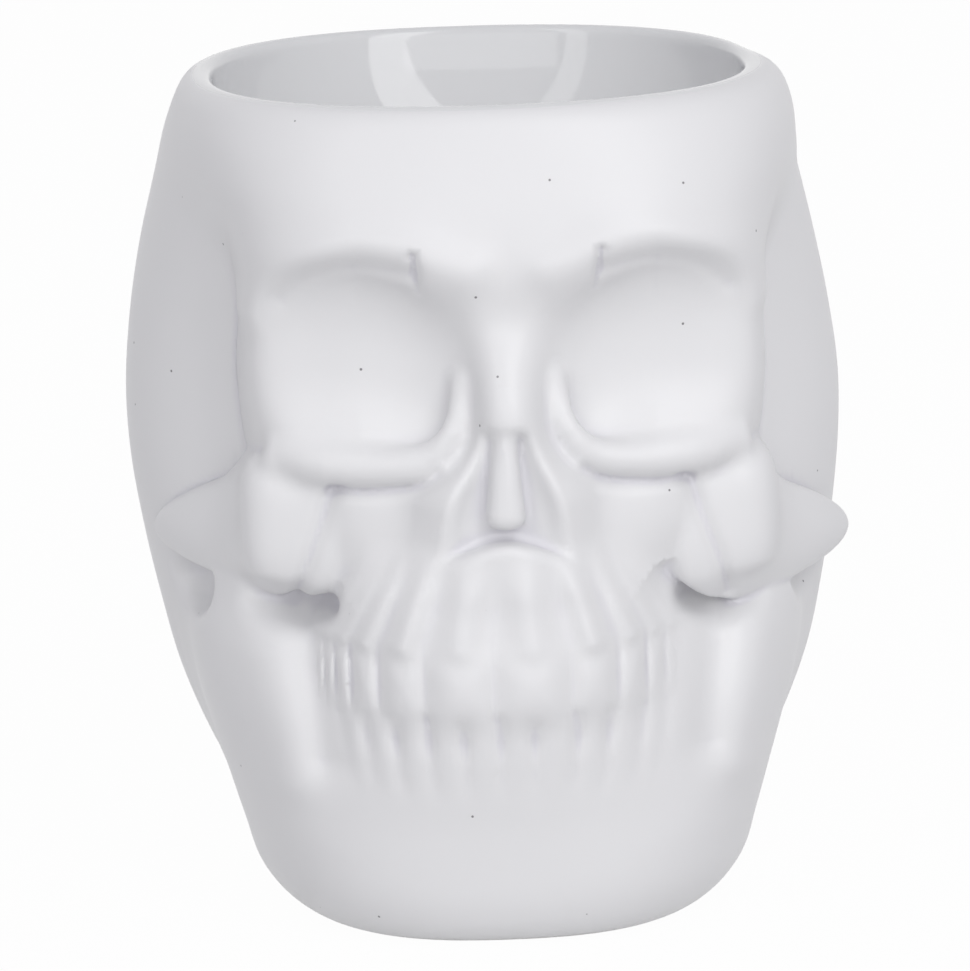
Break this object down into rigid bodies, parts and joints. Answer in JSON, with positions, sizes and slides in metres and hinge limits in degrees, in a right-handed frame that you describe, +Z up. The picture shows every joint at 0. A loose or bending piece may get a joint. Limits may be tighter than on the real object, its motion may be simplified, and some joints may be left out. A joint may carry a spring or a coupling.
{
  "type": "skull oil burner",
  "caption": "White ceramic skull that stands on its base, with an open glazed dish in its crown and a hollow for a tealight behind the face.",
  "frame": {"origin": "middle of the bounding box's underside, which is the plane of the foot", "axes": "+Z up; the face looks along -Y and the tealight doorway along +Y; +X is on the viewer's right when facing the skull"},
  "size_m": [0.098, 0.1076, 0.112],
  "materials": {
    "glazed_ceramic": "satin white glaze, glossier in the dish"
  },
  "bodies": {
    "root": {"burner_body": "glazed_ceramic"}
  },
  "joints": []
}
